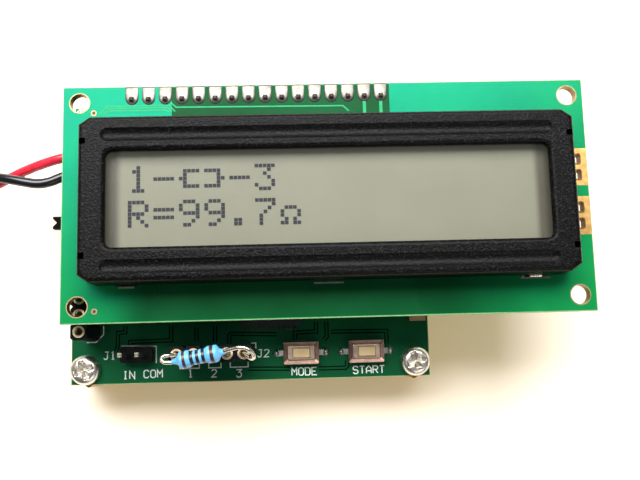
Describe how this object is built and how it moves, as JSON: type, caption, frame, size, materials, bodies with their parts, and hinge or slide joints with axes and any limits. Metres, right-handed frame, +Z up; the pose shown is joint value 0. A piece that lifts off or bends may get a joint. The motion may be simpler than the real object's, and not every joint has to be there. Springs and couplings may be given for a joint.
{
  "type": "component tester",
  "caption": "Bench tester for electronic components: a character display board plugged on a small main board with a test socket, push buttons, slide switch and battery lead.",
  "frame": {"origin": "middle of the four threaded feet, on the table", "axes": "+X along the display to the reader's right, +Y to the display's pin header, +Z up"},
  "size_m": [0.1422, 0.047, 0.03],
  "materials": {
    "circuit_board": "green solder mask",
    "black_steel": "black satin paint",
    "polariser": "satin film",
    "glass": "clear",
    "seal": "epoxy",
    "reflector": "silvered film",
    "rubber": "matt",
    "epoxy": "epoxy",
    "black_plastic": "moulded",
    "gold": "gold plated",
    "tin": "tinned",
    "steel": "nickel plated",
    "brass": "turned",
    "cream_plastic": "moulded",
    "chip_ceramic": "fired",
    "chip_black": "glazed",
    "red_pvc": "smooth sleeve",
    "black_pvc": "smooth sleeve",
    "fibre": "pressed board",
    "blue_lacquer": "lacquered"
  },
  "bodies": {
    "tester": {"main_board": "circuit_board", "standoffs": "brass", "board_screws": "steel", "display_socket": "black_plastic", "display_socket_contacts": "gold", "test_socket": "black_plastic", "test_socket_contacts": "gold", "side_socket": "black_plastic", "side_socket_contacts": "gold", "probe_header_strip": "black_plastic", "probe_header_pins": "gold", "display_header_strip": "black_plastic", "display_header_pins": "gold", "display_header_solder": "tin", "display_board": "circuit_board", "display_bezel": "black_steel", "front_polariser": "polariser", "front_glass": "glass", "cell_seal": "seal", "rear_glass": "glass", "rear_reflector": "reflector", "upper_rubber_connector": "rubber", "lower_rubber_connector": "rubber", "driver_drops": "epoxy", "display_chip_resistors": "chip_black", "left_button_base": "black_plastic", "left_button_dome": "steel", "left_button_cover": "steel", "left_button_leads": "tin", "right_button_base": "black_plastic", "right_button_dome": "steel", "right_button_cover": "steel", "right_button_leads": "tin", "switch_shell": "steel", "switch_base": "black_plastic", "switch_terminals": "tin", "microcontroller_body": "black_plastic", "microcontroller_leads": "tin", "crystal": "steel", "regulator_body": "black_plastic", "regulator_leads": "tin", "chip_capacitors": "chip_ceramic", "chip_resistors": "chip_black", "red_lead": "red_pvc", "red_coil": "red_pvc", "black_lead": "black_pvc", "black_coil": "black_pvc", "lead_solder": "tin", "coil_tie": "black_plastic", "snap_cover": "black_plastic", "snap_plate": "fibre", "snap_stud": "steel", "snap_cup": "steel"},
    "left_plunger": {"left_button_plunger": "cream_plastic"},
    "right_plunger": {"right_button_plunger": "cream_plastic"},
    "power_lever": {"switch_lever": "black_plastic", "switch_wiper": "gold"},
    "resistor": {"test_resistor_body": "blue_lacquer", "test_resistor_leads": "tin"}
  },
  "joints": [
    {"name": "left_button_press", "type": "slide", "parent": "tester", "child": "left_plunger", "axis": [0, 0, -1], "range_m": [0, 0.00025], "stiffness_N_per_m": 6000},
    {"name": "right_button_press", "type": "slide", "parent": "tester", "child": "right_plunger", "axis": [0, 0, -1], "range_m": [0, 0.00025], "stiffness_N_per_m": 6000},
    {"name": "power_switch_slide", "type": "slide", "parent": "tester", "child": "power_lever", "axis": [0, -1, 0], "range_m": [0, 0.002]},
    {"name": "resistor_lift", "type": "slide", "parent": "tester", "child": "resistor", "axis": [0, 0, 1], "range_m": [0, 0.02]}
  ]
}
